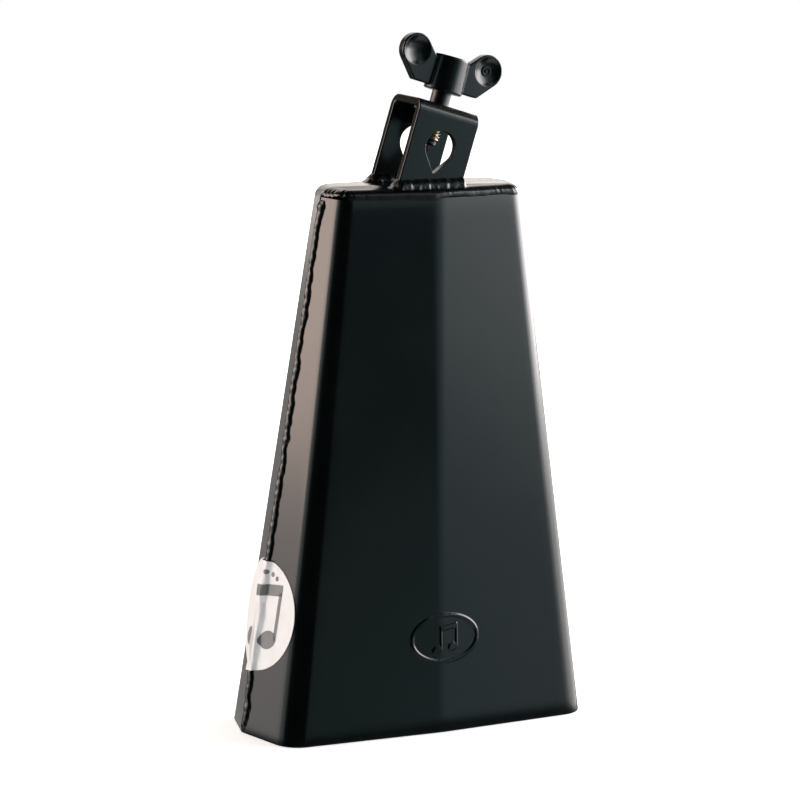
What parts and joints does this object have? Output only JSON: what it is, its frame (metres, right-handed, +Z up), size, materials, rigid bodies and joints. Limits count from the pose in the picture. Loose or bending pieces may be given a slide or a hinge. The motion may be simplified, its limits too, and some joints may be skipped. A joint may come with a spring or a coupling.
{
  "type": "cowbell",
  "caption": "Black steel cowbell standing on its mouth, welded from two bent shells, with a leaning rod clamp on the crown closed by a wing screw.",
  "frame": {"origin": "middle of the mouth's outline, on the ground plane that the mouth stands on", "axes": "+Z up along the bell to its crown, +X across the wide front towards the side the bracket leans to, -Y out of the front face"},
  "size_m": [0.1492, 0.059, 0.2755],
  "materials": {
    "bell_paint": "semi-gloss black paint over sheet steel",
    "weld_paint": "semi-gloss black paint over rippled weld beads",
    "bracket_paint": "semi-gloss black paint over flat bar",
    "wing_paint": "satin black over a die casting",
    "screw_zinc": "yellow zinc plated thread",
    "tip_steel": "dark blackened steel",
    "label_paper": null
  },
  "bodies": {
    "bell": {"front_shell": "bell_paint", "rear_shell": "bell_paint", "top_plate": "bell_paint", "side_seam_weld_left": "weld_paint", "side_seam_weld_right": "weld_paint", "top_rim_weld": "weld_paint", "bracket_strap": "bracket_paint", "bracket_foot_weld_front": "weld_paint", "bracket_foot_weld_rear": "weld_paint", "clamp_nut": "bracket_paint", "nut_weld_left": "weld_paint", "nut_weld_right": "weld_paint", "round_label": "label_paper"},
    "tip": {"screw_tip": "tip_steel"},
    "wing_bolt": {"wing_head": "wing_paint", "screw_shaft": "screw_zinc"}
  },
  "joints": [
    {"name": "screw_travel", "type": "slide", "parent": "bell", "child": "tip", "axis": [0.2807, 0, 0.9598], "range_m": [-0.0046, 0.008]},
    {"name": "wing_turn", "type": "hinge", "parent": "tip", "child": "wing_bolt", "pos_m": [0.00961, 0.002, 0.25185], "axis": [0.2807, 0, 0.9598], "range_deg": [-1340, 2320]}
  ],
  "couplings": [
    {"joint": "wing_turn", "follows": "screw_travel", "rad_per_m": 5026.5}
  ]
}
